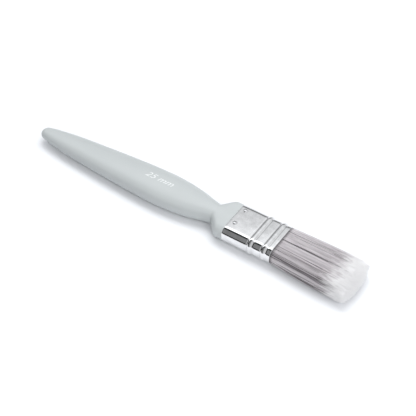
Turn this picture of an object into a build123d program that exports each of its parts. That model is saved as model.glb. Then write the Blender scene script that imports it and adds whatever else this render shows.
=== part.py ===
"""Flat 25 mm paint brush, lying on a table. Sizes in millimetres, +X towards the filament tips, +Z up.

The pieces are drawn with x = 0 at the ferrule's handle end and z = 0 on the brush's long axis.
They are then moved so that the origin is under the middle of the brush, on the surface it lies on.
"""

import math
import os

from build123d import *

# Ferrule: plated sheet steel, formed to a flat tube with two raised beads.
ferrule_length = 32.6
ferrule_width = 27.4
ferrule_thickness = 11.2
ferrule_wall = 0.4
ferrule_corner = 4.2
ferrule_side_bulge = 0.5
bead_centres = (18.8, 27.8)
bead_width = 2.9
bead_crown = 1.1
bead_height = 0.6

# Handle grip. A station is its place, the width and the thickness of the section there.
# Behind the belly the place is a share of the way from the tail to the belly.
# In front of the belly it is the distance from the ferrule.
handle_length = 143.7
belly_from_ferrule = 52.0
belly_width = 24.6
belly_thickness = 12.4
tail_stations = (
    (0.0, 7.2, 5.4),
    (0.06, 9.6, 6.8),
    (0.15, 12.4, 8.0),
    (0.28, 15.6, 9.3),
    (0.43, 18.6, 10.5),
    (0.60, 21.3, 11.5),
    (0.80, 23.8, 12.2),
)
nape_stations = (
    (41.0, 24.0, 12.3),
    (32.0, 22.1, 12.0),
    (25.0, 19.4, 11.6),
    (19.0, 16.2, 11.4),
    (15.4, 14.3, 11.3),
)
grip_squareness = 2.2
tail_rounding = 2.4

# Handle neck, the shoulder that flares from it to the ferrule, and the plug inside the ferrule.
neck_from_ferrule = 12.2
neck_width = 13.0
neck_thickness = 11.2
shoulder_land = 5.4
shoulder_squareness = 6.5
shoulder_fullness = 1.35
shoulder_steps = 5
shoulder_step_in = 0.1
plug_length = 14.5
plug_clearance = 0.05
plug_chamfer = 0.8

# Rivets: two, right through the ferrule and the plug, with a domed head on each face.
rivet_from_edge = 3.5
rivet_offsets = (-4.4, 7.3)
rivet_head_diameter = 3.3
rivet_head_height = 0.55
rivet_shank_diameter = 1.8
rivet_clearance = 0.03

# Setting: the resin block that holds the filament roots, and the strip that parts them in two banks.
setting_gap = 0.3
setting_length = 8.0
setting_clearance = 0.05
setting_wall = 1.0
root_depth = 6.5
root_clearance = 0.05
spacer_width = 17.0
spacer_depth = 5.0
spacer_back_from_mouth = 2.0
spacer_root_thickness = 2.4
spacer_tip_thickness = 1.6

# Filaments: two banks of locks. All of them bend together, about one axis across the brush.
filament_length = 53.0
tuft_spread_across = 1.5
tuft_spread_up = 0.3
tuft_lean = 1.9
tuft_tip_corner = 3.0
locks_per_bank = 6
lock_gap = 0.16
tip_dome_side = 4.5
tip_dome_plan = 2.6
flex_gap = 0.3

mouth = ferrule_length
filament_end = mouth + filament_length
handle_end = -handle_length
middle_of_brush = (handle_end + filament_end) / 2
rest_height = max(ferrule_thickness / 2 + bead_height, belly_thickness / 2)

setting_start = plug_length + setting_gap
setting_end = setting_start + setting_length
root_start = setting_end - root_depth
spacer_start = setting_end - spacer_depth
spacer_end = mouth - spacer_back_from_mouth
root_inset = ferrule_wall + root_clearance
root_thickness = ferrule_thickness - 2 * root_inset
tuft_tip_width = ferrule_width + 2 * tuft_spread_across
tuft_tip_thickness = ferrule_thickness + 2 * tuft_spread_up

# The free filaments start in a half cylinder about this axis, which sits in a hollow of the fixed roots.
flex_radius = root_thickness / 2
flex_axis = mouth + flex_gap + flex_radius

reach = ferrule_width + handle_length + filament_end


def across(x):
    """The plane across the brush at x, with its first axis along Y and its second along Z."""
    return Plane(origin=(x, 0, 0), x_dir=(0, 1, 0), z_dir=(1, 0, 0))


def slab(start, end):
    """All of space between two planes across the brush."""
    return extrude(across(start) * Rectangle(reach, reach), end - start)


def flat_outline(width, thickness, corner):
    """The ferrule's kind of section: flat above and below, with bowed sides and round corners."""
    flat = width / 2 - ferrule_side_bulge
    edges = [
        Line((-flat, thickness / 2), (flat, thickness / 2)),
        ThreePointArc((flat, thickness / 2), (width / 2, 0), (flat, -thickness / 2)),
        Line((flat, -thickness / 2), (-flat, -thickness / 2)),
        ThreePointArc((-flat, -thickness / 2), (-width / 2, 0), (-flat, thickness / 2)),
    ]
    outline = make_face(Wire(edges))
    return fillet(outline.vertices(), corner)


def ferrule_outline(inset):
    """The ferrule's section, drawn in all round by the inset."""
    return flat_outline(ferrule_width - 2 * inset, ferrule_thickness - 2 * inset, ferrule_corner - inset)


def ferrule_form(inset, overrun=0.0):
    """The ferrule's solid form with its beads, drawn in by the inset and run on past both ends."""
    form = extrude(across(-overrun) * ferrule_outline(inset), ferrule_length + 2 * overrun)
    for centre in bead_centres:
        foot = bead_width / 2 - inset
        sections = [
            across(centre - foot) * ferrule_outline(inset),
            across(centre - bead_crown / 2) * ferrule_outline(inset - bead_height),
            across(centre + bead_crown / 2) * ferrule_outline(inset - bead_height),
            across(centre + foot) * ferrule_outline(inset),
        ]
        form += loft(sections, ruled=True)
    return form


def rivet_places():
    """Where the rivets pass through the brush."""
    return [Pos(rivet_from_edge, offset, 0) for offset in rivet_offsets]


def drill_for_rivets(piece):
    """The piece with a hole through it for each rivet."""
    for place in rivet_places():
        piece = piece - place * Cylinder(rivet_shank_diameter / 2 + rivet_clearance, 2 * ferrule_thickness)
    return piece


def build_ferrule():
    sleeve = ferrule_form(0) - ferrule_form(ferrule_wall, overrun=1)
    return drill_for_rivets(sleeve)


def oval(x, width, thickness, squareness, count=40):
    """A section of the handle: a superellipse, which is an ellipse at a squareness of 2."""
    points = []
    for index in range(count):
        angle = 2 * math.pi * index / count
        y = math.copysign(abs(math.cos(angle)) ** (2 / squareness), math.cos(angle))
        z = math.copysign(abs(math.sin(angle)) ** (2 / squareness), math.sin(angle))
        points.append((width / 2 * y, thickness / 2 * z))
    return across(x) * make_face(Spline(*points, periodic=True))


def grip_sections():
    """Sections of the grip, from the tail over the belly to just behind the neck."""
    belly = -belly_from_ferrule
    sections = []
    for share, width, thickness in tail_stations:
        sections.append(oval(handle_end + share * (belly - handle_end), width, thickness, grip_squareness))
    sections.append(oval(belly, belly_width, belly_thickness, grip_squareness))
    for distance, width, thickness in nape_stations:
        sections.append(oval(-distance, width, thickness, grip_squareness))
    return sections


def shoulder_sections():
    """Sections from the neck to the ferrule's own outline. The width grows faster at first than at last."""
    land_width = ferrule_width - 2 * shoulder_step_in
    land_thickness = ferrule_thickness - 2 * shoulder_step_in
    sections = []
    for step in range(shoulder_steps + 1):
        share = step / shoulder_steps
        x = -neck_from_ferrule + share * (neck_from_ferrule - shoulder_land)
        swell = share * (shoulder_fullness - (shoulder_fullness - 1) * share)
        width = neck_width + (land_width - neck_width) * swell
        thickness = neck_thickness + (land_thickness - neck_thickness) * swell
        squareness = grip_squareness + (shoulder_squareness - grip_squareness) * share**2
        sections.append(oval(x, width, thickness, squareness))
    return sections


def handle_plug():
    """The plug that fills the ferrule's back end."""
    inset = ferrule_wall + plug_clearance
    plug = extrude(across(0) * ferrule_outline(inset), plug_length)
    return chamfer(plug.faces().sort_by(Axis.X)[-1].edges(), plug_chamfer)


def build_handle():
    sections = grip_sections() + shoulder_sections()
    grip = loft(sections)
    grip = fillet(grip.faces().sort_by(Axis.X)[0].edges(), tail_rounding)
    land = extrude(sections[-1], shoulder_land)
    return grip + land + drill_for_rivets(handle_plug())


def build_rivet():
    """One rivet on the Z axis, symmetrical about z = 0."""
    seat = ferrule_thickness / 2
    top = seat + rivet_head_height
    head = rivet_head_diameter / 2
    shank = rivet_shank_diameter / 2
    cap_radius = (head**2 + rivet_head_height**2) / (2 * rivet_head_height)
    profile = [
        Line((0, -top), (0, top)),
        RadiusArc((0, top), (head, seat), cap_radius),
        Polyline((head, seat), (shank, seat), (shank, -seat), (head, -seat)),
        RadiusArc((head, -seat), (0, -top), cap_radius),
    ]
    return revolve(Plane.XZ * make_face(profile), Axis.Z).solid()


def build_rivets():
    return Compound([place * build_rivet() for place in rivet_places()])


def spacer_form(grow):
    """The strip between the two banks of roots, thinner towards the mouth."""
    sections = [
        across(spacer_start - grow) * Rectangle(spacer_width + 2 * grow, spacer_root_thickness + 2 * grow),
        across(spacer_end + grow) * Rectangle(spacer_width + 2 * grow, spacer_tip_thickness + 2 * grow),
    ]
    return loft(sections, ruled=True)


def embedded_roots(grow):
    """The roots of both banks where the resin holds them, as one form."""
    inset = ferrule_wall + setting_wall - grow
    return extrude(across(root_start - grow) * ferrule_outline(inset), root_depth + 2 * grow)


def build_setting():
    """The resin fills the bore behind the roots and the hollow of the bead, and it grips the roots."""
    filled = ferrule_form(ferrule_wall + setting_clearance) & slab(setting_start, setting_end)
    return filled - embedded_roots(root_clearance) - spacer_form(root_clearance)


def tuft_form():
    """The filaments outside the ferrule as one form, which spreads and leans towards the tips."""
    tuft_shift = Pos(-tuft_lean, 0, 0)
    sections = [
        across(mouth) * ferrule_outline(root_inset),
        across(filament_end) * tuft_shift * flat_outline(tuft_tip_width, tuft_tip_thickness, tuft_tip_corner),
    ]
    return loft(sections, ruled=True)


def bank_side(side):
    """All of space on one side of the gap between the two banks."""
    return Pos(0, 0, side * (lock_gap + reach) / 2) * Box(2 * reach, reach, reach)


def knuckle(radius):
    """A cylinder about the axis that the filaments bend about."""
    return Pos(flex_axis, 0, 0) * Rot(90, 0, 0) * Cylinder(radius, reach)


def build_root_bank(side):
    """The fixed end of one bank, from inside the resin to the hollow that the free filaments bend in."""
    in_bore = extrude(across(setting_end) * ferrule_outline(root_inset), mouth - setting_end)
    past_mouth = tuft_form() & slab(mouth, flex_axis)
    roots = embedded_roots(0) + in_bore + past_mouth
    return (roots & bank_side(side)) - spacer_form(root_clearance) - knuckle(flex_radius + flex_gap)


def domed_end(edge, half):
    """A strip along X whose far end bows out from the given edge to the tips."""
    sides = Polyline((edge, half), (0, half), (0, -half), (edge, -half))
    bow = ThreePointArc((edge, -half), (filament_end, 0), (edge, half))
    return make_face([sides, bow])


def domed_tips():
    """The trimmed form of the tips: domed when seen from the side, and a little when seen from above."""
    side_edge = filament_end - tip_dome_side
    plan_edge = filament_end - tip_dome_plan
    half_thickness = tuft_tip_thickness / 2
    half_width = tuft_tip_width / 2
    from_side = extrude(Plane.XZ * domed_end(side_edge, half_thickness), half_width, both=True)
    from_above = extrude(domed_end(plan_edge, half_width), half_thickness, both=True)
    return Pos(0, -tuft_lean, 0) * (from_side & from_above)


def free_tuft():
    """The filaments that bend, as one form: past the axis, and in the half cylinder about it."""
    return tuft_form() & (slab(flex_axis, filament_end) + knuckle(flex_radius)) & domed_tips()


def lock_edge(index, x):
    """How far across the brush the edge of a lock is, for edges numbered from the -Y side."""
    share = index / locks_per_bank - 0.5
    root_width = ferrule_width - 2 * root_inset
    along = (x - mouth) / filament_length
    return share * (root_width + (tuft_tip_width - root_width) * along) - tuft_lean * along


def build_lock(tuft, side, index):
    """One lock of the tuft: a wedge that spreads with it."""
    inner = lock_gap / 2
    corners = [
        (mouth, lock_edge(index, mouth) + inner),
        (filament_end, lock_edge(index, filament_end) + inner),
        (filament_end, lock_edge(index + 1, filament_end) - inner),
        (mouth, lock_edge(index + 1, mouth) - inner),
    ]
    wedge = extrude(make_face(Polyline(*corners, close=True)), ferrule_thickness, both=True)
    return tuft & wedge & bank_side(side)


def build_pieces():
    """Every piece of the brush by its name."""
    pieces = {
        "handle": build_handle(),
        "ferrule": build_ferrule(),
        "rivets": build_rivets(),
        "setting": build_setting(),
        "spacer_plug": spacer_form(0),
    }
    tuft = free_tuft()
    for bank, side in (("upper", 1), ("lower", -1)):
        pieces[f"filament_roots_{bank}"] = build_root_bank(side)
        for index in range(locks_per_bank):
            pieces[f"filament_lock_{bank}_{index + 1}"] = build_lock(tuft, side, index)
    return pieces


os.makedirs("parts", exist_ok=True)
pieces = build_pieces()
extent = Compound(list(pieces.values())).bounding_box()
to_row_frame = Pos(-middle_of_brush, -(extent.min.Y + extent.max.Y) / 2, rest_height)
for name, piece in pieces.items():
    export_step(to_row_frame * piece, f"parts/{name}.step")
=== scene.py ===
"""Flat 25 mm paint brush lying on a pale floor: its looks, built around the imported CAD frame."""
import math
from functools import partial

import bpy
import numpy as np
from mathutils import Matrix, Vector


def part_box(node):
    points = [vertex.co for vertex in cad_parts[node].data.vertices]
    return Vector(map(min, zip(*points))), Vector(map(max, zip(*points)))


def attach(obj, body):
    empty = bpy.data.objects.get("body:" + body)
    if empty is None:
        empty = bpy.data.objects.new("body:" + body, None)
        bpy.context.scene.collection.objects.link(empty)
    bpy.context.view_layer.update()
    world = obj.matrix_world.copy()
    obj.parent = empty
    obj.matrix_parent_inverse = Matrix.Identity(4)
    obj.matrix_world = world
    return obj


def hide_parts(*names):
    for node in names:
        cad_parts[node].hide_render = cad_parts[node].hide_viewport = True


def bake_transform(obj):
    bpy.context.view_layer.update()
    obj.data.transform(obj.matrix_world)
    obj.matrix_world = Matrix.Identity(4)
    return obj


MM = 0.001
SEED = 11

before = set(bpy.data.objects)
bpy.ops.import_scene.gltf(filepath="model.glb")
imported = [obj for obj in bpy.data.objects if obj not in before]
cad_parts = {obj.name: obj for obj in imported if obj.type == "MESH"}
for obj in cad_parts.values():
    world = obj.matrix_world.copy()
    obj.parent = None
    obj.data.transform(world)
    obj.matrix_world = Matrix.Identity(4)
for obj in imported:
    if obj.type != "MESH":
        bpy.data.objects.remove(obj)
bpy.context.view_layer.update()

# ---------------------------------------------------------------- sizes

ferrule_low, ferrule_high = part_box("ferrule")
handle_low, handle_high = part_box("handle")
LOCKS = 6
BANKS = (("upper", 1), ("lower", -1))
lock_boxes = [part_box(f"filament_lock_{bank}_{i + 1}") for bank, _ in BANKS for i in range(LOCKS)]

BEAD_HEIGHT = 0.6 * MM
BEAD_WIDTH = 2.9 * MM
BEAD_PLACES = (18.8 * MM, 27.8 * MM)
WALL = 0.4 * MM
CORNER = 4.2 * MM
SIDE_BULGE = 0.5 * MM
PILLOW = 0.12 * MM
CROWN = 0.18 * MM
FOOT_LENGTH = 0.9 * MM
FOOT_HEIGHT = 0.13 * MM

back = ferrule_low.x
mouth = ferrule_high.x
axis_y = (ferrule_low.y + ferrule_high.y) / 2
axis_z = (ferrule_low.z + ferrule_high.z) / 2
ferrule_half_width = (ferrule_high.y - ferrule_low.y) / 2 - BEAD_HEIGHT
ferrule_half_thickness = (ferrule_high.z - ferrule_low.z) / 2 - BEAD_HEIGHT
ferrule_length = mouth - back
tip_x = max(high.x for _, high in lock_boxes)
lean_of_tuft = axis_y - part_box(f"filament_lock_upper_{LOCKS // 2 + 1}")[0].y
tip_half_width = axis_y - lean_of_tuft - min(low.y for low, _ in lock_boxes)
tip_half_thickness = max(high.z for _, high in lock_boxes) - axis_z
free_length = tip_x - mouth


# ---------------------------------------------------------------- mesh helpers


def mesh_piece(name, points, faces, material):
    """A smooth-shaded mesh object. Its points are given with y = 0 on the brush's axis."""
    mesh = bpy.data.meshes.new(name)
    mesh.from_pydata([(x, y + axis_y, z) for x, y, z in points], [], faces)
    mesh.polygons.foreach_set("use_smooth", [True] * len(mesh.polygons))
    mesh.materials.append(material)
    piece = bpy.data.objects.new(name, mesh)
    bpy.context.scene.collection.objects.link(piece)
    return piece


def skin(rings, wrap=False, caps=True):
    """Points and faces of a surface through rings of equal length.

    It is closed by caps, or by joining the last ring to the first.
    """
    rings = np.asarray(rings)
    count, around = rings.shape[:2]
    points = rings.reshape(-1, 3)
    faces = []
    for r in range(count if wrap else count - 1):
        a, b = r * around, (r + 1) % count * around
        for i in range(around):
            j = (i + 1) % around
            faces.append((a + i, b + i, b + j, a + j))
    if caps and not wrap:
        points = np.vstack([points, rings[0].mean(0), rings[-1].mean(0)])
        first, last = count * around, count * around + 1
        end = (count - 1) * around
        for i in range(around):
            j = (i + 1) % around
            faces.append((i, j, first))
            faces.append((end + j, end + i, last))
    return points, faces


def smooth_curve(places, values):
    """A curve through the values that doesn't overshoot between them."""
    x, y = np.array(places, float), np.array(values, float)
    step = np.diff(x)
    slope = np.diff(y) / step
    tangent = np.empty_like(y)
    tangent[0], tangent[-1] = slope[0], slope[-1]
    same_way = slope[:-1] * slope[1:] > 0
    safe = np.where(same_way, slope[:-1] + slope[1:], 1)
    tangent[1:-1] = np.where(same_way, 2 * slope[:-1] * slope[1:] / safe, 0)

    def at(where):
        where = np.asarray(where, float)
        i = np.clip(np.searchsorted(x, where) - 1, 0, len(step) - 1)
        t = (where - x[i]) / step[i]
        rise = y[i] * (1 + 2 * t) * (1 - t) ** 2 + y[i + 1] * t * t * (3 - 2 * t)
        lean = step[i] * (tangent[i] * t * (1 - t) ** 2 - tangent[i + 1] * t * t * (1 - t))
        return rise + lean

    return at


def smoothstep(low, high, value):
    """0 below low, 1 above high, and smooth between them."""
    t = np.clip((value - low) / (high - low), 0, 1)
    return t * t * (3 - 2 * t)


# ---------------------------------------------------------------- materials


def add_node(tree, kind, inputs=None, **properties):
    """A new node. Its inputs are given by socket, each a value or another node's output."""
    node = tree.nodes.new(kind)
    for key, value in properties.items():
        setattr(node, key, value)
    for key, value in (inputs or {}).items():
        if hasattr(value, "is_output"):
            tree.links.new(value, node.inputs[key])
        else:
            node.inputs[key].default_value = value
    return node


def new_material(name, **settings):
    """A Principled material, its node tree, its shader, and a function that adds a node."""
    material = bpy.data.materials.new(name)
    material.use_nodes = True
    tree = material.node_tree
    shader = tree.nodes["Principled BSDF"]
    for socket, value in settings.items():
        shader.inputs[socket.replace("_", " ")].default_value = value
    return material, tree, shader, partial(add_node, tree)


def place_of(add, scale=(1, 1, 1)):
    """The piece's own coordinates, scaled."""
    own = add("ShaderNodeTexCoord").outputs["Object"]
    return add("ShaderNodeMapping", {"Vector": own, "Scale": scale}).outputs["Vector"]


def noise(add, scale, stretch=(1, 1, 1), detail=3.0, roughness=0.5):
    """Noise over the piece. Its scale is features per metre."""
    where = place_of(add, stretch)
    settings = {"Vector": where, "Scale": scale, "Detail": detail, "Roughness": roughness}
    return add("ShaderNodeTexNoise", settings).outputs["Fac"]


def ranged(add, value, low, high, from_low=0.3, from_high=0.7):
    """A value moved to a new range, from the one that noise mostly stays in if no other is given."""
    limits = {"From Min": from_low, "From Max": from_high, "To Min": low, "To Max": high}
    return add("ShaderNodeMapRange", {"Value": value} | limits).outputs["Result"]


def mixed(add, share, first, second):
    """Two colours mixed."""
    return add("ShaderNodeMix", {0: share, 6: first, 7: second}, data_type="RGBA").outputs[2]


def maths(add, operation, *values):
    """One arithmetic step."""
    return add("ShaderNodeMath", dict(enumerate(values)), operation=operation).outputs[0]


def bumped(add, height, distance, strength=1.0, normal=None):
    """A bump of the given height, laid over another one if there is one."""
    settings = {"Height": height, "Distance": distance, "Strength": strength}
    if normal is not None:
        settings["Normal"] = normal
    return add("ShaderNodeBump", settings).outputs["Normal"]


def handle_material():
    """Satin light grey moulding: fine grain, faint flow marks, and a parting line along both edges."""
    material, tree, shader, add = new_material("handle_plastic", IOR=1.5, Specular_IOR_Level=0.5)
    flow = noise(add, 60, (0.25, 1, 1), detail=4)
    darker, lighter = (0.400, 0.424, 0.427, 1), (0.434, 0.458, 0.461, 1)
    colour = mixed(add, ranged(add, flow, 0, 1), darker, lighter)
    tree.links.new(colour, shader.inputs["Base Color"])
    rough = ranged(add, noise(add, 900, detail=2), 0.33, 0.43)
    tree.links.new(rough, shader.inputs["Roughness"])
    grain = bumped(add, noise(add, 5200, detail=2), 0.02 * MM, 0.35)
    height = add("ShaderNodeSeparateXYZ", {"Vector": place_of(add)}).outputs["Z"]
    off_middle = maths(add, "ABSOLUTE", maths(add, "SUBTRACT", height, axis_z))
    line = ranged(add, off_middle, 1, 0, 0.03 * MM, 0.12 * MM)
    tree.links.new(bumped(add, line, 0.03 * MM, 0.5, grain), shader.inputs["Normal"])
    return material


def metal_material(name, tone, rough_low, rough_high):
    """Nickel-plated sheet: fine rolling lines along the strip, soft dents, and duller patches."""
    material, tree, shader, add = new_material(name, Metallic=1.0)
    patch = noise(add, 260, detail=5, roughness=0.6)
    dark = tuple(0.84 * part for part in tone) + (1,)
    colour = mixed(add, ranged(add, patch, 0, 1), dark, tone + (1,))
    tree.links.new(colour, shader.inputs["Base Color"])
    lines = noise(add, 1500, (4, 0.12, 0.12), detail=3)
    wear = maths(add, "MULTIPLY", patch, lines)
    tree.links.new(ranged(add, wear, rough_low, rough_high, 0.12, 0.4), shader.inputs["Roughness"])
    fine = bumped(add, lines, 0.004 * MM, 0.5)
    dents = bumped(add, noise(add, 140, detail=2), 0.10 * MM, 0.35, fine)
    tree.links.new(dents, shader.inputs["Normal"])
    return material


# Colours of a strand by its tint, and the share of the length over which it turns pale.
FILAMENT_SHADES = (
    (0.0, (0.08, 0.070, 0.077, 1)),
    (0.3, (0.44, 0.410, 0.430, 1)),
    (0.6, (0.61, 0.575, 0.600, 1)),
    (1.0, (0.75, 0.715, 0.742, 1)),
)
PALE_FROM_TO = (0.64, 0.82)


def filament_material():
    """Tapered filaments. The strand map gives each strand's tint and the share of its length."""
    settings = {"Subsurface_Weight": 0.35, "Subsurface_Scale": 0.8 * MM, "Subsurface_Radius": (1, 1, 1)}
    material, tree, shader, add = new_material("filament", IOR=1.5, Specular_IOR_Level=0.4, **settings)
    strand = add("ShaderNodeUVMap", uv_map="strand").outputs["UV"]
    parts = add("ShaderNodeSeparateXYZ", {"Vector": strand})
    tint, along = parts.outputs["X"], parts.outputs["Y"]
    ramp = add("ShaderNodeValToRGB", {"Fac": tint})
    stops = ramp.color_ramp.elements
    stops[0].color, stops[1].color = FILAMENT_SHADES[0][1], FILAMENT_SHADES[-1][1]
    for position, colour in FILAMENT_SHADES[1:-1]:
        stops.new(position).color = colour
    wander = noise(add, 700, (0.3, 1, 1), detail=2)
    shaken = maths(add, "ADD", along, ranged(add, wander, -0.06, 0.06))
    pale = ranged(add, shaken, 0, 1, *PALE_FROM_TO)
    # Painted shade: the strands turn near black where they go into the ferrule's mouth.
    clear_of_mouth_shade = ranged(add, along, 0.25, 1, 0.0, 0.035)
    colour = mixed(add, pale, ramp.outputs["Color"], (0.99, 0.988, 0.995, 1))
    colour = mixed(add, clear_of_mouth_shade, (0.02, 0.018, 0.02, 1), colour)
    tree.links.new(colour, shader.inputs["Base Color"])
    tree.links.new(ranged(add, wander, 0.30, 0.48), shader.inputs["Roughness"])
    tree.links.new(bumped(add, noise(add, 9000, detail=1), 0.005 * MM, 0.3), shader.inputs["Normal"])
    return material


def mark_material():
    """Thin white ink with a slightly worn edge."""
    material, tree, shader, add = new_material("mark_ink", Roughness=0.45)
    worn = noise(add, 2500, detail=4)
    thin, full = (0.54, 0.56, 0.56, 1), (0.68, 0.70, 0.70, 1)
    colour = mixed(add, ranged(add, worn, 0, 1, 0.35, 0.5), thin, full)
    tree.links.new(colour, shader.inputs["Base Color"])
    tree.links.new(bumped(add, worn, 0.004 * MM, 0.4), shader.inputs["Normal"])
    return material


def resin_material():
    """Cast amber epoxy with small bubbles."""
    material, tree, shader, add = new_material("resin", Roughness=0.25, IOR=1.55)
    cloud = noise(add, 400, detail=3)
    colour = mixed(add, ranged(add, cloud, 0, 1), (0.30, 0.17, 0.05, 1), (0.48, 0.30, 0.10, 1))
    tree.links.new(colour, shader.inputs["Base Color"])
    bubbles = add("ShaderNodeTexVoronoi", {"Vector": place_of(add), "Scale": 1800}).outputs["Distance"]
    tree.links.new(bumped(add, bubbles, 0.05 * MM, 0.5), shader.inputs["Normal"])
    return material


def board_material():
    """Pressed board with fibres along the brush."""
    material, tree, shader, add = new_material("spacer", Roughness=0.85)
    fibres = noise(add, 1200, (0.15, 1, 1), detail=4)
    colour = mixed(add, ranged(add, fibres, 0, 1), (0.24, 0.16, 0.09, 1), (0.40, 0.29, 0.18, 1))
    tree.links.new(colour, shader.inputs["Base Color"])
    tree.links.new(bumped(add, fibres, 0.05 * MM, 0.6), shader.inputs["Normal"])
    return material


def floor_material():
    """Matt pale paper."""
    material, tree, shader, add = new_material("floor", Roughness=0.9, Specular_IOR_Level=0.1)
    tree.links.new(ranged(add, noise(add, 8), 0.88, 0.92), shader.inputs["Roughness"])
    shader.inputs["Base Color"].default_value = (0.76, 0.772, 0.795, 1)
    return material


# ---------------------------------------------------------------- handle

# A station of the grip: its distance from the tail, its half width, half thickness and squareness.
GRIP_STATIONS = (
    (0.0, 3.3, 2.6, 2.1),
    (2.5, 4.0, 3.1, 2.1),
    (8.7, 5.45, 3.65, 2.2),
    (14.0, 6.3, 4.0, 2.25),
    (24.0, 7.75, 4.6, 2.3),
    (44.0, 9.45, 5.3, 2.4),
    (64.0, 11.0, 5.85, 2.45),
    (84.0, 12.1, 6.15, 2.5),
    (94.0, 12.35, 6.2, 2.5),
    (104.0, 11.85, 6.15, 2.5),
    (114.0, 10.5, 6.0, 2.5),
    (120.0, 9.2, 5.9, 2.45),
    (126.0, 7.5, 5.75, 2.4),
    (131.5, 6.3, 5.6, 2.3),
)
TAIL_ROUND = 3.4 * MM
TAIL_TIP_SHARE = 0.02
SHOULDER_LAND = 5.4 * MM
STEP_IN = 0.1 * MM
PLUG_INSET = WALL + 0.08 * MM
PLUG_BEVEL = 0.8 * MM
PLUG_END_SHARE = 0.94
SHOULDER_FULLNESS = 1.25
NECK_SOFTNESS = 0.3 * MM
SOFT_FROM_TO = (-8, -3)
RING_STEP = 0.4 * MM
HANDLE_AROUND = 128


def handle_profile():
    """Places along the handle, and the half width, half thickness and squareness there.

    The last column is how much the section is like the ferrule's, from 0 to 1.
    """
    x = np.arange(handle_low.x, back + RING_STEP / 2, RING_STEP)
    from_tail = (x - handle_low.x) / MM
    stations = np.array(GRIP_STATIONS)
    neck = stations[-1, 0]
    land = (back - handle_low.x - SHOULDER_LAND) / MM
    share = np.clip((from_tail - neck) / (land - neck), 0, 1)
    swell = share * (SHOULDER_FULLNESS - (SHOULDER_FULLNESS - 1) * share)
    ends = ((ferrule_half_width - STEP_IN) / MM, (ferrule_half_thickness - STEP_IN) / MM)
    columns = []
    for column in range(2):
        grip = smooth_curve(stations[:, 0], stations[:, column + 1])(np.minimum(from_tail, neck))
        columns.append(grip + (ends[column] - stations[-1, column + 1]) * swell)
    squareness = smooth_curve(stations[:, 0], stations[:, 3])(np.minimum(from_tail, neck))
    reach = int(round(3 * NECK_SOFTNESS / RING_STEP))
    spread = np.exp(-0.5 * (np.arange(-reach, reach + 1) * RING_STEP / NECK_SOFTNESS) ** 2)
    spread /= spread.sum()
    near_neck = smoothstep(*SOFT_FROM_TO, from_tail - neck)
    for column in range(2):
        padded = np.pad(columns[column], reach, mode="edge")
        soft = np.convolve(padded, spread, mode="valid")
        columns[column] = columns[column] * (1 - near_neck) + soft * near_neck
    rounding = np.clip((x - handle_low.x) / TAIL_ROUND, 0, 1)
    dome = np.sqrt(np.clip(1 - (1 - rounding) ** 2, TAIL_TIP_SHARE**2, 1))
    return x, columns[0] * MM * dome, columns[1] * MM * dome, squareness, smoothstep(0, 1, share)


def superellipse(half_width, half_thickness, squareness, around):
    """Points of a superellipse, evenly spread around it."""
    angle = np.linspace(0, 2 * math.pi, around, endpoint=False)
    c, s = np.cos(angle), np.sin(angle)
    size = (np.abs(c) ** squareness + np.abs(s) ** squareness) ** (-1 / squareness)
    return half_width * c * size, half_thickness * s * size


def unit_ferrule_outline(around):
    """The ferrule's outline stretched to a half width and half thickness of 1, at even angles."""
    y, z = flat_outline(0, 8 * around)
    y, z = y / ferrule_half_width, z / ferrule_half_thickness
    turn = np.arctan2(z, y)
    order = np.argsort(turn)
    angle = np.linspace(0, 2 * math.pi, around, endpoint=False)
    radius = np.interp(angle, turn[order], np.hypot(y, z)[order], period=2 * math.pi)
    return radius * np.cos(angle), radius * np.sin(angle)


def handle_height(x, y):
    """How far the handle's top face is above the brush's axis."""
    places, half_width, half_thickness, squareness, _ = handle_profile()
    width = np.interp(x, places, half_width)
    thickness = np.interp(x, places, half_thickness)
    power = np.interp(x, places, squareness)
    return thickness * (1 - np.clip(np.abs(y) / width, 0, 1) ** power) ** (1 / power)


def build_handle(material):
    """The moulding from the tail to the end of its plug, in one surface."""
    rings = []
    sleeve_y, sleeve_z = unit_ferrule_outline(HANDLE_AROUND)
    for x, width, thickness, power, likeness in zip(*handle_profile()):
        y, z = superellipse(1, 1, power, HANDLE_AROUND)
        y = width * (y + (sleeve_y - y) * likeness)
        z = thickness * (z + (sleeve_z - z) * likeness)
        rings.append(np.column_stack([np.full(HANDLE_AROUND, x), y, z + axis_z]))
    rings[0][:, 0] += RING_STEP / 2 * TAIL_TIP_SHARE
    plug_y = sleeve_y * (ferrule_half_width - PLUG_INSET)
    plug_z = sleeve_z * (ferrule_half_thickness - PLUG_INSET)
    plug_end = handle_high.x
    for x, share in ((back, 1.0), (plug_end - PLUG_BEVEL, 1.0), (plug_end, PLUG_END_SHARE)):
        y, z = plug_y * share, plug_z * share + axis_z
        rings.append(np.column_stack([np.full(HANDLE_AROUND, x), y, z]))
    points, faces = skin(rings)
    piece = mesh_piece("handle_moulding", points, faces, material)
    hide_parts("handle")
    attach(piece, "brush")


MARK_SIZE = 5.6 * MM
MARK_SLANT = 0.35
MARK_STRETCH = 1.25
MARK_BEHIND_FERRULE = 53.5 * MM
MARK_ASIDE = 0.6 * MM
INK_HEIGHT = 0.03 * MM


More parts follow.
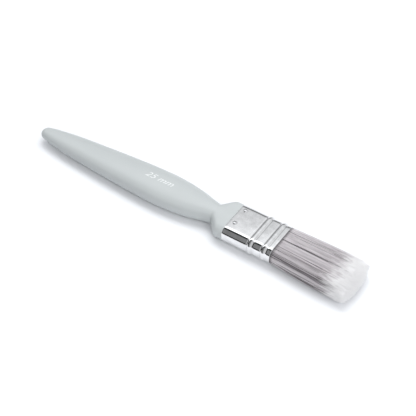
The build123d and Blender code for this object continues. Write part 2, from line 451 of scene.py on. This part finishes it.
def build_mark(material):
    """A plain size mark in white ink, printed on the belly's top face."""
    text = bpy.data.curves.new("size_mark", "FONT")
    text.body = "25 mm"
    text.size = MARK_SIZE
    text.shear = MARK_SLANT
    text.align_x = "CENTER"
    text.align_y = "CENTER"
    text.resolution_u = 8
    flat = bpy.data.objects.new("size_mark_flat", text)
    bpy.context.scene.collection.objects.link(flat)
    bpy.context.view_layer.update()
    mesh = bpy.data.meshes.new_from_object(flat.evaluated_get(bpy.context.evaluated_depsgraph_get()))
    bpy.data.objects.remove(flat)
    for vertex in mesh.vertices:
        x = vertex.co.x * MARK_STRETCH + back - MARK_BEHIND_FERRULE
        y = vertex.co.y + MARK_ASIDE
        vertex.co = (x, y + axis_y, axis_z + float(handle_height(x, y)) + INK_HEIGHT)
    mesh.materials.clear()
    mesh.materials.append(material)
    piece = bpy.data.objects.new("size_mark", mesh)
    bpy.context.scene.collection.objects.link(piece)
    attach(piece, "brush")


# ---------------------------------------------------------------- ferrule and rivets

FERRULE_AROUND = 160
ROUNDNESS = 0.6
FULL_PILLOW = 8 * MM
LIP_TURNS = (0.5, 1.2, 1.9, 2.6)
END_GAP = 0.25 * MM
PLAIN_RINGS = 36
BEAD_RINGS = 39
BEAD_REACH = 0.82


def flat_outline(offset, around):
    """Evenly spaced points of the ferrule's outline, grown by the offset.

    It has flat faces, round corners and bowed sides.
    """
    corner = CORNER + offset
    half_width = ferrule_half_width - SIDE_BULGE + offset
    half_thickness = ferrule_half_thickness + offset
    flat, side = half_width - corner, half_thickness - corner
    arc = corner * math.pi / 2
    lengths = [side, arc, 2 * flat, arc, 2 * side, arc, 2 * flat, arc, side]
    marks = np.concatenate([[0], np.cumsum(lengths)])
    y, z = np.empty(around), np.empty(around)
    for i in range(around):
        run = (i / around) * marks[-1]
        part = min(int(np.searchsorted(marks, run, side="right")) - 1, 8)
        d = run - marks[part]
        if part == 0:
            y[i], z[i] = half_width, d
        elif part == 8:
            y[i], z[i] = half_width, d - side
        elif part == 4:
            y[i], z[i] = -half_width, side - d
        elif part in (2, 6):
            sign = 1 if part == 2 else -1
            y[i], z[i] = sign * (flat - d), sign * half_thickness
        else:
            turn = d / corner + {1: 0, 3: 0.5, 5: 1.0, 7: 1.5}[part] * math.pi
            sign_y = 1 if part in (1, 7) else -1
            sign_z = 1 if part in (1, 3) else -1
            y[i] = sign_y * flat + corner * math.cos(turn)
            z[i] = sign_z * side + corner * math.sin(turn)
    bow = SIDE_BULGE * (1 - (z / half_thickness) ** 2)
    on_face = smoothstep(side / 2, half_thickness, np.abs(z))
    on_side = smoothstep(flat * 0.9, half_width, np.abs(y))
    z = z - np.sign(z) * CROWN * (y / half_width) ** 2 * on_face
    return y + np.sign(y) * bow * on_side, z


def bead_rise(x):
    """How far the beads stand out, with a soft foot, and the slight pillow of the bands between."""
    half = BEAD_WIDTH / 2
    radius = (half**2 + BEAD_HEIGHT**2) / (2 * BEAD_HEIGHT)
    rise = 0.0
    for place in BEAD_PLACES:
        off = abs(x - place)
        if off < half:
            rise = math.sqrt(radius**2 - off**2) - (radius - BEAD_HEIGHT)
        elif off < half + FOOT_LENGTH:
            rise -= FOOT_HEIGHT * math.sin(math.pi * ((off - half) / FOOT_LENGTH) ** ROUNDNESS)
    edges = [edge for place in BEAD_PLACES for edge in (place - half, place + half)]
    stops = [0.0] + edges + [ferrule_length]
    for start, end in zip(stops[::2], stops[1::2]):
        if start < x < end:
            fullness = min(1, (end - start) / FULL_PILLOW)
            rise += PILLOW * fullness * math.sin(math.pi * (x - start) / (end - start)) ** ROUNDNESS
    return rise


def ferrule_places():
    """Places along the ferrule, closer together over the beads."""
    places = set(np.linspace(END_GAP, ferrule_length - END_GAP, PLAIN_RINGS))
    for place in BEAD_PLACES:
        places = {p for p in places if abs(p - place) > BEAD_WIDTH * (BEAD_REACH + 0.04)}
        places |= set(place + np.linspace(-BEAD_REACH, BEAD_REACH, BEAD_RINGS) * BEAD_WIDTH)
    return sorted(places)


def build_ferrule(material):
    """The sleeve of formed sheet, inside and outside, with a rolled lip at both ends."""
    places = ferrule_places()
    lip = WALL / 2
    profile = [(x, bead_rise(x)) for x in places]
    front = ferrule_length - lip
    profile += [(front + lip * math.sin(a), -lip + lip * math.cos(a)) for a in LIP_TURNS]
    profile += [(x, bead_rise(x) - WALL) for x in reversed(places)]
    profile += [(lip - lip * math.sin(a), -lip - lip * math.cos(a)) for a in LIP_TURNS]
    rings = []
    for x, offset in profile:
        y, z = flat_outline(offset, FERRULE_AROUND)
        rings.append(np.column_stack([np.full(FERRULE_AROUND, back + x), y, z + axis_z]))
    points, faces = skin(rings, wrap=True)
    piece = mesh_piece("ferrule_sleeve", points, faces, material)
    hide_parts("ferrule")
    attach(piece, "brush")


RIVET_PLACES = ((3.5 * MM, -4.4 * MM), (3.5 * MM, 7.3 * MM))
# Radius and height of a rivet's dome and of the narrow rim about it, in mm.
RIVET_DOME = ((0.35, 0.54), (0.65, 0.5), (0.9, 0.42), (1.1, 0.3), (1.22, 0.14), (1.26, 0.05))
RIVET_RIM = ((1.42, 0.04), (1.55, 0.07), (1.64, 0.02), (1.62, -0.02), (0.9, -0.04))
RIVET_SEAT = 0.05 * MM
RIVET_AROUND = 40


def build_rivet(number, place, material):
    """A through rivet: a dome in a narrow rim on both faces, and the shank between them."""
    seat = ferrule_half_thickness + RIVET_SEAT
    half = [(r * MM, seat + h * MM) for r, h in RIVET_DOME + RIVET_RIM]
    profile = half + [(r, -h) for r, h in reversed(half)]
    angles = np.linspace(0, 2 * math.pi, RIVET_AROUND, endpoint=False)
    rings = []
    for radius, height in profile:
        x = back + place[0] + radius * np.cos(angles)
        y = place[1] + radius * np.sin(angles)
        rings.append(np.column_stack([x, y, np.full(RIVET_AROUND, axis_z + height)]))
    points, faces = skin(rings[::-1])
    piece = mesh_piece(f"rivet_{number}", points, faces, material)
    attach(piece, "brush")
    return piece


# ---------------------------------------------------------------- filaments


ROOT_GAP = 0.12 * MM
ROOT_HALF_WIDTH = ferrule_half_width - WALL - ROOT_GAP
ROOT_HALF_THICKNESS = ferrule_half_thickness - WALL - ROOT_GAP
ROOT_CORNER = CORNER - WALL
TIP_CORNER = 3.6 * MM
DOME_SIDE = 4.5 * MM
DOME_PLAN = 2.6 * MM
START_INSIDE = 2.5 * MM
TUBE_SIDES = 4

# Number of strands, where along the free length they start, points along each, how deep they lie,
# and radius at the root and at the tip.
LONG_STRANDS = (200, 0, 10, 0.28, 0.12 * MM, 0.035 * MM)
TIP_STRANDS = (460, 0.58, 6, 0.98, 0.12 * MM, 0.045 * MM)

# Tints go from 0, dark, to 1, pale.
STREAKS = 110
STREAK_TINT = 0.60
STREAK_SPREAD = 0.13
# Some streaks, and those along the near corner, get a near black tint: painted shade of the gaps
# between clumps.
GAP_SHADE_SHARE = 0.13
PAINTED_SHADE_TINT = 0.04
LEAST_TINT = 0.02
TINT_JITTER = 0.07
# Painted light: the strands on the narrow sides are paler than the streaks they follow.
SIDE_PAINTED_LIGHT = 0.12
CORNER_GAP_SHADE = slice(3, 5)

# Share of an outer lock's strands that lie on the narrow side, how deep, how high up it they go,
# and the height past which those of the lower bank are painted near black, as shade near the floor.
ON_SIDE_SHARE = 0.35
ON_SIDE_SKIN = 0.06
ON_SIDE_REACH = 0.62
PAINTED_SHADE_BELOW = 0.54

# Strands gather in clumps, which differ in place, pull and tint, turn aside a little and sink in.
CLUMPS = 3
CLUMP_JITTER = 0.02
CLUMP_PULL = (0.05, 0.35)
CLUMP_TINT = (-0.10, 0.12)
TURN_ASIDE = 0.012
SINK = 0.05

# Uneven ends, waves along each strand, flicks near its tip, and how far it may stray.
UNEVEN_TRIM = 1.3 * MM
WAVE = 0.18 * MM
WAVE_TURNS = (2, 5)
FLICK = 0.6 * MM
STRAY = 0.15 * MM
FLOOR_GAP = 0.25 * MM

# The core of each lock: its height as a share of the tuft's, and where it thins out before the tips.
CORE_DEPTH = 0.82
CORE_TIP_DEPTH = 0.88
CORE_BOTTOM = 0.02
CORE_SHORT = 5.0 * MM
CORE_EDGE = 0.07
CORE_SHARES = np.append(np.linspace(0, 0.85, 12), (0.9, 0.94, 0.97, 0.99, 1.0))
CORE_ROUND_FROM = 0.88
CORE_ROUND = 0.8
# The core is tinted dark as painted shade between the strands; towards the tips it turns pale like
# them.
CORE_SHADE_TINT = 0.14
CORE_SHADE_TINT_SPREAD = 0.1
FLUTES = 25
FLUTE_DEPTH = 0.05

# The roots that show inside the mouth, tinted dark as painted shade inside the ferrule.
ROOT_PLACES = (back + 23 * MM, mouth - 1.2 * MM, mouth - 0.6 * MM)
ROOT_REACH = 0.985
ROOT_DEPTH = 0.97
ROOT_FLUTES = 61
ROOT_FLUTE_DEPTH = 0.03
ROOT_SEED = SEED + 7
ROOT_SHADE_TINT = 0.12


def streak_tints():
    """Tints of the streaks across the tuft: most pale, some near black as painted shade of gaps between
    clumps, and painted shade along the near corner.
    """
    rng = np.random.default_rng(SEED)
    tints = rng.normal(STREAK_TINT, STREAK_SPREAD, STREAKS)
    # Painted shade: near black streaks stand for the gaps between clumps and the gap along the near
    # corner.
    tints[rng.random(STREAKS) < GAP_SHADE_SHARE] = PAINTED_SHADE_TINT
    tints[CORNER_GAP_SHADE] = PAINTED_SHADE_TINT
    return tints


def envelope(x, u, v):
    """Where the point at u across and v up is in the tuft's section at x. Both are from -1 to 1."""
    share = np.clip((x - mouth) / free_length, -0.1, 1)
    half_width = ROOT_HALF_WIDTH + (tip_half_width - ROOT_HALF_WIDTH) * share
    half_thickness = ROOT_HALF_THICKNESS + (tip_half_thickness - ROOT_HALF_THICKNESS) * share
    corner = ROOT_CORNER + (TIP_CORNER - ROOT_CORNER) * share
    y = u * half_width
    into_corner = np.clip(np.abs(y) - (half_width - corner), 0, corner)
    y = y - lean_of_tuft * share
    top = half_thickness - corner + np.sqrt(np.clip(corner**2 - into_corner**2, 0, None))
    return y, axis_z + v * top


def end_of(u, v):
    """Where the trimmed tips end at a place in the section."""
    return tip_x - DOME_SIDE * np.abs(v) ** 2.2 - DOME_PLAN * np.abs(u) ** 2.5


def tubes(paths, radii):
    """Tubes along many paths at once. paths is strands x points x 3, radii is strands x points."""
    strands, steps = paths.shape[:2]
    turn = (np.arange(TUBE_SIDES) + 0.5) * 2 * math.pi / TUBE_SIDES
    ring = np.stack([np.zeros(TUBE_SIDES), np.cos(turn), np.sin(turn)], axis=1)
    points = paths[:, :, None, :] + radii[:, :, None, None] * ring[None, None]
    base = (np.arange(strands) * steps)[:, None, None] + np.arange(steps - 1)[None, :, None]
    side = np.arange(TUBE_SIDES)[None, None]
    after = (side + 1) % TUBE_SIDES
    here, there = base * TUBE_SIDES, (base + 1) * TUBE_SIDES
    quads = np.stack([here + side, there + side, there + after, here + after], axis=-1)
    return points.reshape(-1, 3), quads.reshape(-1, 4)[:, ::-1]


def strand_piece(name, batches, material):
    """One mesh of many strands, with the strand map: tint across and share of the length up."""
    points, quads, tints, alongs = [], [], [], []
    offset = 0
    for paths, radii, tint, along in batches:
        p, q = tubes(paths, radii)
        points.append(p)
        quads.append(q + offset)
        offset += len(p)
        tints.append(np.repeat(tint, paths.shape[1] * TUBE_SIDES))
        alongs.append(np.repeat(along.ravel(), TUBE_SIDES))
    points, quads = np.concatenate(points), np.concatenate(quads)
    tints, alongs = np.concatenate(tints), np.concatenate(alongs)
    piece = mesh_piece(name, points, [tuple(int(i) for i in q) for q in quads], material)
    give_strand_map(piece, tints, alongs)
    return piece


def give_strand_map(piece, tints, alongs):
    """Puts each point's tint and share of the length in the strand map."""
    layer = piece.data.uv_layers.new(name="strand")
    corner = np.empty(len(piece.data.loops), np.int32)
    piece.data.loops.foreach_get("vertex_index", corner)
    values = np.column_stack([tints[corner], alongs[corner]])
    layer.uv.foreach_set("vector", values.astype(np.float32).ravel())


def lock_span(index):
    """The lowest and highest place across the tuft that belong to a lock."""
    return -1 + 2 * index / LOCKS, -1 + 2 * (index + 1) / LOCKS


def lock_strands(rng, side, index, count, first_share, steps, depth):
    """Paths, shares of the length and tints of one lock's strands.

    first_share is where along the free length they start, and depth is how deep they lie.
    """
    u_low, u_high = lock_span(index)
    u = rng.uniform(u_low, u_high, count)
    v = side * (1 - depth * rng.random(count) ** 1.2)
    edge = index in (0, LOCKS - 1)
    if edge:
        outer = -1 if index == 0 else 1
        on_side = rng.random(count) < ON_SIDE_SHARE
        u = np.where(on_side, outer * (1 - ON_SIDE_SKIN * rng.random(count)), u)
        v = np.where(on_side, side * ON_SIDE_REACH * rng.random(count), v)
    middles = np.linspace(u_low, u_high, 2 * CLUMPS + 1)[1::2]
    clump_u = middles + rng.normal(0, CLUMP_JITTER, CLUMPS)
    which = np.abs(u[:, None] - clump_u[None]).argmin(1)
    pull = rng.uniform(*CLUMP_PULL, CLUMPS)[which][:, None]
    clump_tint = rng.uniform(*CLUMP_TINT, CLUMPS)[which]
    aside = rng.normal(0, TURN_ASIDE, CLUMPS)[which][:, None]
    end = end_of(u, v) - np.abs(rng.normal(0, UNEVEN_TRIM, count))
    start = mouth + first_share * free_length if first_share > 0 else mouth - START_INSIDE
    x = start + (end - start)[:, None] * np.linspace(0, 1, steps)[None]
    along = (x - mouth) / free_length
    gather = smoothstep(0.02, 0.55, along) * (1 - 0.55 * smoothstep(0.6, 1.0, along))
    u_path = u[:, None] + (clump_u[which] - u)[:, None] * pull * gather
    u_path += aside * along + rng.normal(0, TURN_ASIDE, (count, 1)) * smoothstep(0.2, 1, along)
    sink = 1 - SINK * rng.random((count, 1)) * smoothstep(0.1, 0.7, along)
    y, z = envelope(x, np.clip(u_path, -1.0, 1.0), v[:, None] * sink)
    wave = rng.normal(0, WAVE, (count, 1, 2))
    wave = wave * np.sin(along * rng.uniform(*WAVE_TURNS, (count, 1)))[..., None]
    flick = rng.normal(0, FLICK, (count, 1, 2)) * (smoothstep(0.72, 1.05, along) ** 2)[..., None]
    loose = (wave + flick) * smoothstep(0, 0.1, along)[..., None]
    reach = tip_half_width + STRAY
    y = np.clip(y + loose[..., 0], -lean_of_tuft - reach, -lean_of_tuft + reach)
    z = np.maximum(z + loose[..., 1], FLOOR_GAP)
    streaks = streak_tints()
    streak = streaks[np.clip(((u + 1) / 2 * STREAKS).astype(int), 0, STREAKS - 1)]
    tint = streak + clump_tint + rng.normal(0, TINT_JITTER, count)
    if edge:
        side_streak = streaks[(np.abs(v) * STREAKS / 3).astype(int) + STREAKS // 2]
        # Painted light: strands on the narrow side get a paler tint.
        tint = np.where(on_side, side_streak + SIDE_PAINTED_LIGHT, tint)
        # Painted shade: low on the narrow side of the lower bank, near the floor, the strands turn near
        # black.
        if side < 0:
            tint = np.where(on_side & (np.abs(v) > PAINTED_SHADE_BELOW), PAINTED_SHADE_TINT, tint)
    return np.stack([x, y, z], axis=-1), along, np.clip(tint, LEAST_TINT, 1)


def strand_radius(rng, count, along, root, tip):
    """Radius along each strand, which tapers towards its tip."""
    size = rng.uniform(0.8, 1.15, count)[:, None]
    return size * (root + (tip - root) * smoothstep(0.35, 1.0, along))


def build_lock(bank, side, index, material):
    """The filaments of one lock, with a fluted core of packed filaments under them."""
    rng = np.random.default_rng(SEED + index + 100 * (side > 0))
    batches = []
    for count, first_share, steps, depth, root, tip in (LONG_STRANDS, TIP_STRANDS):
        path, along, tint = lock_strands(rng, side, index, count, first_share, steps, depth)
        batches.append((path, strand_radius(rng, count, along, root, tip), tint, along))
    piece = strand_piece(f"filaments_{bank}_{index + 1}", batches, material)
    core = build_core(rng, bank, side, index, material)
    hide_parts(f"filament_lock_{bank}_{index + 1}")
    return [piece, core]


def core_ring(x, side, u_low, u_high, depth, flute):
    """A ring of a core's section: across the top, down, and back along the middle of the tuft."""
    across = np.linspace(u_low, u_high, len(flute))
    here = np.full(len(flute), x)
    y_top, z_top = envelope(here, across, side * (depth - flute))
    y_low, z_low = envelope(here, across[::-1], np.full(len(flute), side * CORE_BOTTOM))
    y, z = np.concatenate([y_top, y_low]), np.concatenate([z_top, z_low])
    return np.column_stack([np.full(len(y), x), y, z])


def packed_piece(name, rings, side, material, tints):
    """A closed piece of packed filaments. tints gives the tints of a number of points."""
    points, faces = skin(rings)
    if side < 0:
        faces = [face[::-1] for face in faces]
    piece = mesh_piece(name, points, faces, material)
    along = np.maximum((points[:, 0] - mouth) / free_length, 0)
    give_strand_map(piece, tints(len(points)), along)
    return piece


def build_core(rng, bank, side, index, material):
    """Packed filaments under the loose ones: a fluted block tinted dark as painted shade, that tapers
    off before the tips.
    """
    flute = FLUTE_DEPTH * rng.random(FLUTES)
    u_low, u_high = lock_span(index)
    u_low, u_high = max(u_low, -1 + CORE_EDGE), min(u_high, 1 - CORE_EDGE)
    start, end = mouth - START_INSIDE, tip_x - CORE_SHORT
    rings = []
    for share in CORE_SHARES:
        depth = CORE_DEPTH + (CORE_TIP_DEPTH - CORE_DEPTH) * smoothstep(0.55, 0.8, share)
        past = max(0.0, (share - CORE_ROUND_FROM) / (1 - CORE_ROUND_FROM))
        depth *= math.sqrt(1 - CORE_ROUND * past**2)
        rings.append(core_ring(start + (end - start) * share, side, u_low, u_high, depth, flute))

    # Painted shade: a dark tint that shows between the strands.
    def tints(count):
        return CORE_SHADE_TINT + CORE_SHADE_TINT_SPREAD * rng.random(count)

    return packed_piece(f"filament_core_{bank}_{index + 1}", rings, side, material, tints)


def build_roots(bank, side, material):
    """The roots of one bank inside the ferrule, from the resin to just inside the mouth, tinted dark as
    painted shade.
    """
    flute = ROOT_FLUTE_DEPTH * np.random.default_rng(ROOT_SEED).random(ROOT_FLUTES)
    rings = [core_ring(x, side, -ROOT_REACH, ROOT_REACH, ROOT_DEPTH, flute) for x in ROOT_PLACES]
    piece = packed_piece(f"roots_{bank}", rings, side, material, lambda n: np.full(n, ROOT_SHADE_TINT))
    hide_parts(f"filament_roots_{bank}")
    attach(piece, "brush")


# ---------------------------------------------------------------- stage, light and camera


FLOOR_HALF = 4.0

# Name, place, aim, size and power of each soft light, in metres and watts.
LIGHTS = (
    ("key", (-0.12, 0.42, 0.85), (0, 0, 0), (0.9, 0.6), 4.9),
    ("fill", (0.3, -0.6, 0.7), (0, 0, 0), (1.2, 0.8), 5.3),
    ("side", (0.62, -0.12, 0.28), (0.1, 0, 0), (0.5, 0.3), 0.9),
)


def build_floor(material):
    """A plain floor under the brush."""
    half = FLOOR_HALF
    points = [(-half, -half, 0), (half, -half, 0), (half, half, 0), (-half, half, 0)]
    piece = mesh_piece("floor", points, [(0, 1, 2, 3)], material)


def area_light(name, place, aim, size, power):
    """A soft light that doesn't show in reflections."""
    light = bpy.data.lights.new(name, "AREA")
    light.shape = "RECTANGLE"
    light.size, light.size_y = size
    light.energy = power
    lamp = bpy.data.objects.new(name, light)
    lamp.location = place
    lamp.rotation_euler = (Vector(aim) - Vector(place)).to_track_quat("-Z", "Y").to_euler()
    lamp.visible_glossy = False
    bpy.context.scene.collection.objects.link(lamp)


# In front of the brush, two dark slots stand at the ends of a grey card.
CARD_MIDDLE = -0.39
CARD_HALF = 0.24
SLOT_HALF = 0.20
SLOT_BLUR = 0.06

# Brightness of the studio by the angle about the brush's axis, from 0 at the horizon behind the brush
# to 1 at the horizon before it.
WORLD_BANDS = (
    (0.00, 0.60),
    (0.05, 0.60),
    (0.085, 0.60),
    (0.10, 0.04),
    (0.14, 0.04),
    (0.17, 0.35),
    (0.25, 0.72),
    (0.283, 0.82),
    (0.31, 1.25),
    (0.36, 1.90),
    (0.47, 1.90),
    (0.49, 0.02),
    (0.58, 0.02),
    (0.615, 0.24),
    (0.88, 0.24),
    (0.91, 0.02),
    (1.00, 0.02),
)
BAND_TONE = (0.985, 1.0, 1.02)

# Towards the brush's filament end the bands fade into a plain bright studio.
OPEN_STUDIO = (0.93, 0.94, 0.96, 1)
OPEN_SHARE = 0.65


def card_strength(add, x, y):
    """Strength of the studio's light: none in the dark slots, full elsewhere."""
    off_middle = maths(add, "ABSOLUTE", maths(add, "ADD", x, -CARD_MIDDLE))
    off_slot = maths(add, "ABSOLUTE", maths(add, "SUBTRACT", off_middle, CARD_HALF + SLOT_HALF))
    outside = ranged(add, off_slot, 0, 1, SLOT_HALF - SLOT_BLUR, SLOT_HALF)
    behind = ranged(add, y, 0, 1, -0.2, -0.1)
    return maths(add, "MAXIMUM", outside, behind)


def build_world():
    """Studio surroundings: a large white panel overhead, grey walls, and dark gaps between them."""
    world = bpy.data.worlds.new("studio")
    bpy.context.scene.world = world
    world.use_nodes = True
    tree = world.node_tree
    add = partial(add_node, tree)
    where = add("ShaderNodeTexCoord").outputs["Generated"]
    x, y, z = add("ShaderNodeSeparateXYZ", {"Vector": where}).outputs
    share = maths(add, "DIVIDE", maths(add, "ARCTAN2", z, y), math.pi)
    ramp = add("ShaderNodeValToRGB", {"Fac": share})
    stops = ramp.color_ramp.elements
    stops.remove(stops[0])
    for number, (position, level) in enumerate(WORLD_BANDS):
        stop = stops[0] if number == 0 else stops.new(position)
        stop.position = position
        stop.color = tuple(level * part for part in BAND_TONE) + (1,)
    open_share = ranged(add, x, 0, OPEN_SHARE, -0.15, -0.02)
    colour = mixed(add, open_share, ramp.outputs["Color"], OPEN_STUDIO)
    strength = maths(add, "MAXIMUM", card_strength(add, x, y), open_share)
    ground = tree.nodes["Background"]
    tree.links.new(colour, ground.inputs["Color"])
    tree.links.new(strength, ground.inputs["Strength"])


CAMERA_AZIMUTH = 33.69
CAMERA_ELEVATION = 45.85
CAMERA_DISTANCE = 700 * MM
CAMERA_LENS = 102.2
AIM_BEHIND_FERRULE = 19.14 * MM
AIM_ASIDE = 1.52 * MM


def build_camera():
    """A long lens, aimed near the middle of the brush."""
    data = bpy.data.cameras.new("camera")
    data.sensor_width = 36
    data.lens = CAMERA_LENS
    data.clip_start, data.clip_end = 0.01, 20
    camera = bpy.data.objects.new("camera", data)
    turn, rise = math.radians(CAMERA_AZIMUTH), math.radians(CAMERA_ELEVATION)
    level = math.cos(rise)
    outward = Vector((math.sin(turn) * level, -math.cos(turn) * level, math.sin(rise)))
    aim = Vector((back - AIM_BEHIND_FERRULE, axis_y + AIM_ASIDE, axis_z))
    camera.location = aim + outward * CAMERA_DISTANCE
    camera.rotation_euler = (-outward).to_track_quat("-Z", "Y").to_euler()
    bpy.context.scene.collection.objects.link(camera)
    bpy.context.scene.camera = camera


# ---------------------------------------------------------------- put together

build_camera()
build_world()
build_floor(floor_material())
for light in LIGHTS:
    area_light(*light)
bpy.context.scene.view_settings.view_transform = "Standard"

plastic = handle_material()
build_handle(plastic)
build_mark(mark_material())

plated = metal_material("plated_steel", (0.86, 0.86, 0.865), 0.05, 0.13)
build_ferrule(plated)
rivet_metal = metal_material("rivet_steel", (0.74, 0.74, 0.75), 0.08, 0.18)
for number, place in enumerate(RIVET_PLACES):
    rivet = build_rivet(number + 1, place, rivet_metal)
    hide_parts("rivets")

fibre = filament_material()
for bank, side in BANKS:
    build_roots(bank, side, fibre)
    for index in range(LOCKS):
        for part in build_lock(bank, side, index, fibre):
            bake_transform(part)

for node, material in (("setting", resin_material()), ("spacer_plug", board_material())):
    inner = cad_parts[node]
    inner.data.materials.clear()
    inner.data.materials.append(material)
